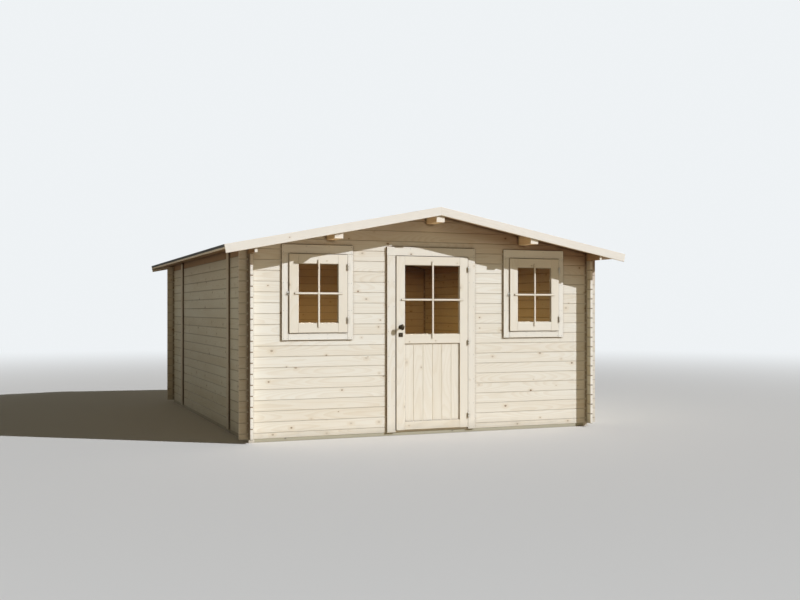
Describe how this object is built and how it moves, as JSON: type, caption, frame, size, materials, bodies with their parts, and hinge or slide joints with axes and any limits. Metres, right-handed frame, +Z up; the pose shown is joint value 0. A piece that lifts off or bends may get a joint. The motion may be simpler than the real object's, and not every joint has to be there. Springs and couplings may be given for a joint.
{
  "type": "garden shed",
  "caption": "Single-room timber cabin of interlocking logs with a low gable roof, a half-glazed hinged door and two front windows",
  "frame": {"origin": "on the ground under the middle of the roof, at the bottom of the ground beams", "axes": "+X to the right along the front, +Y from the front to the rear along the ridge, +Z up"},
  "size_m": [4.769, 5.352, 2.5179],
  "materials": {
    "logs": "matte",
    "ground_beams": "matte",
    "purlins": "matte",
    "roof_boards": "matte",
    "floor": "matte",
    "trim": "matte",
    "casings": "matte",
    "joinery": "matte",
    "felt": "matte",
    "glass": "gloss",
    "hinges": "satin",
    "door_furniture": "satin"
  },
  "bodies": {
    "shed": {"foundation_beams": "ground_beams", "floor_boards": "floor", "left_wall": "logs", "right_wall": "logs", "rear_wall": "logs", "front_wall_low_left": "logs", "front_wall_low_right": "logs", "front_wall_corner_left": "logs", "front_wall_corner_right": "logs", "front_wall_pier_left": "logs", "front_wall_pier_right": "logs", "front_gable": "logs", "rear_gable": "logs", "wall_plates": "purlins", "ridge_purlin": "purlins", "side_purlins": "purlins", "roof_boards_left": "roof_boards", "roof_boards_right": "roof_boards", "roofing_felt_left": "felt", "roofing_felt_right": "felt", "ridge_strip": "felt", "eave_strips": "felt", "front_fascia": "trim", "rear_fascia": "trim", "wall_battens": "trim", "window_casings": "casings", "window_frames": "joinery", "window_sashes": "joinery", "window_glass": "glass", "window_bars": "joinery", "window_hinges": "hinges", "window_catches": "door_furniture", "door_jambs": "joinery", "door_head": "joinery", "door_threshold": "joinery", "door_casing": "casings", "door_hinge_pins": "hinges"},
    "door": {"door_leaf": "joinery", "door_panel": "joinery", "door_glass": "glass", "door_bars": "joinery", "door_knob": "door_furniture", "door_keyhole_plate": "door_furniture", "door_hinge_knuckles": "hinges"}
  },
  "joints": [
    {"name": "door_hinge", "type": "hinge", "parent": "shed", "child": "door", "pos_m": [0.4605, -2.398, 1.0235], "axis": [0, 0, 1], "range_deg": [0, 110]}
  ]
}
